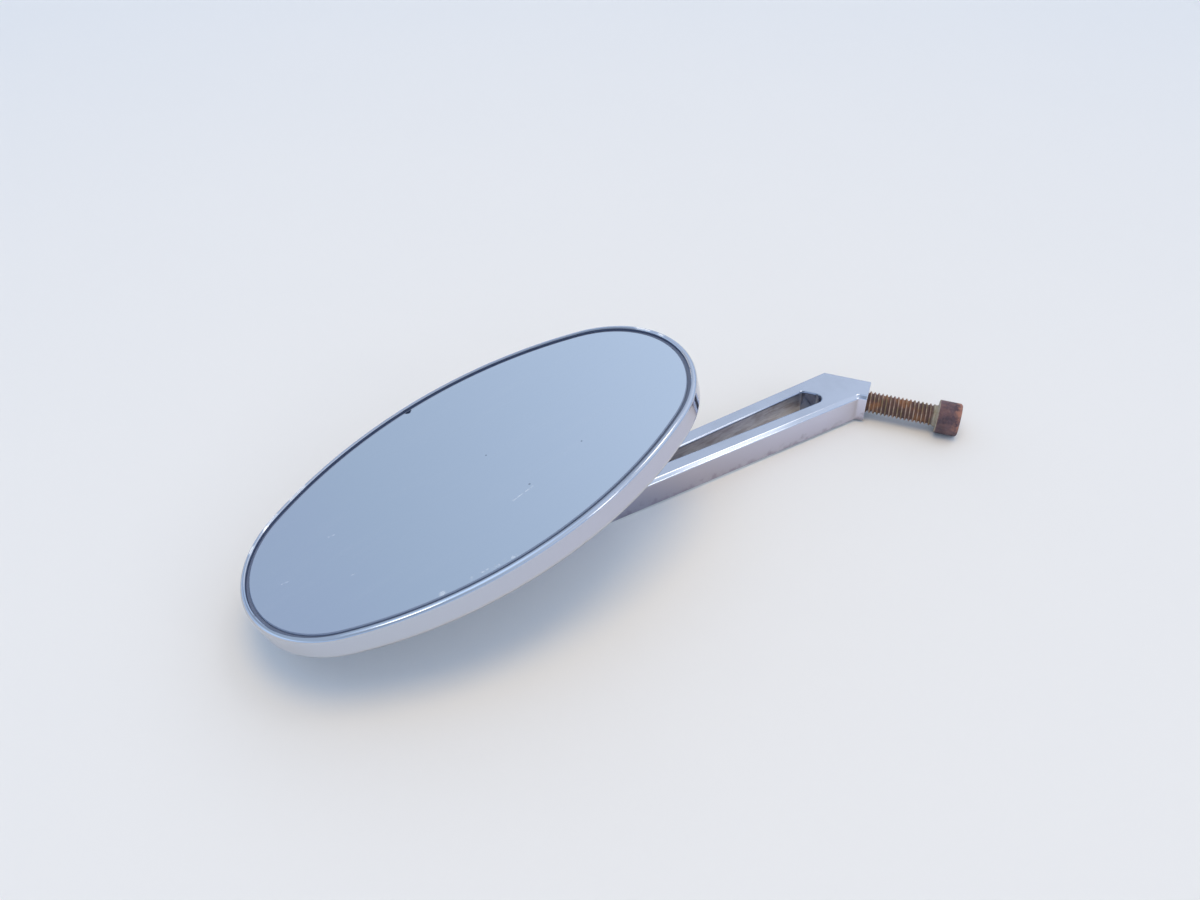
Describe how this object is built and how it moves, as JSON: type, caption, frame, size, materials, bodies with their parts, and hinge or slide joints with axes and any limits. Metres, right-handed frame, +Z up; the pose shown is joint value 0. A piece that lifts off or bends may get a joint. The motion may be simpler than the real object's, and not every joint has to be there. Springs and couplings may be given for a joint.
{
  "type": "motorcycle mirror",
  "caption": "Oval motorcycle mirror in a chromed dished head on a ball joint, carried by a tapered slotted billet arm with an angled mounting block and a rusted socket head bolt.",
  "frame": {"origin": "centre of the arm's seat face, on the axis of the mounting bolt", "axes": "+X along the arm from its mounting block to the head, +Z up with the arm lying flat on its underside, +Y to the side the bolt leans towards"},
  "size_m": [0.2501, 0.0889, 0.0575],
  "materials": {
    "chrome": "polished plating",
    "rusted_steel": "rusted, matt",
    "steel": "plain zinc-plated steel",
    "nylon": "natural moulded nylon",
    "foam": "closed-cell adhesive foam",
    "mirror": "silvered flat glass",
    "sealant": "black bead"
  },
  "bodies": {
    "arm": {"stem_arm": "chrome", "mount_bolt": "rusted_steel", "ball_stud": "steel", "stud_screw": "steel"},
    "liner": {"socket_liner": "nylon"},
    "cup": {"pressure_cup": "nylon"},
    "head": {"mirror_housing": "chrome", "mirror_glass": "mirror", "edge_seal": "sealant", "glass_pad": "foam", "disc_spring": "steel", "retainer_plate": "steel", "retainer_screws": "steel"}
  },
  "joints": [
    {"name": "head_tilt", "type": "hinge", "parent": "arm", "child": "liner", "pos_m": [0.1478, -0.00775, 0.0174], "axis": [-0.0366, 0.9993, 0], "range_deg": [-23, 12]},
    {"name": "head_roll", "type": "hinge", "parent": "liner", "child": "cup", "pos_m": [0.1478, -0.00775, 0.0174], "axis": [0.9741, 0.0357, -0.2233], "range_deg": [-23, 7]},
    {"name": "head_spin", "type": "hinge", "parent": "cup", "child": "head", "pos_m": [0.1478, -0.00775, 0.0174], "axis": [0.226, -0.131, 0.9653], "continuous": true}
  ]
}
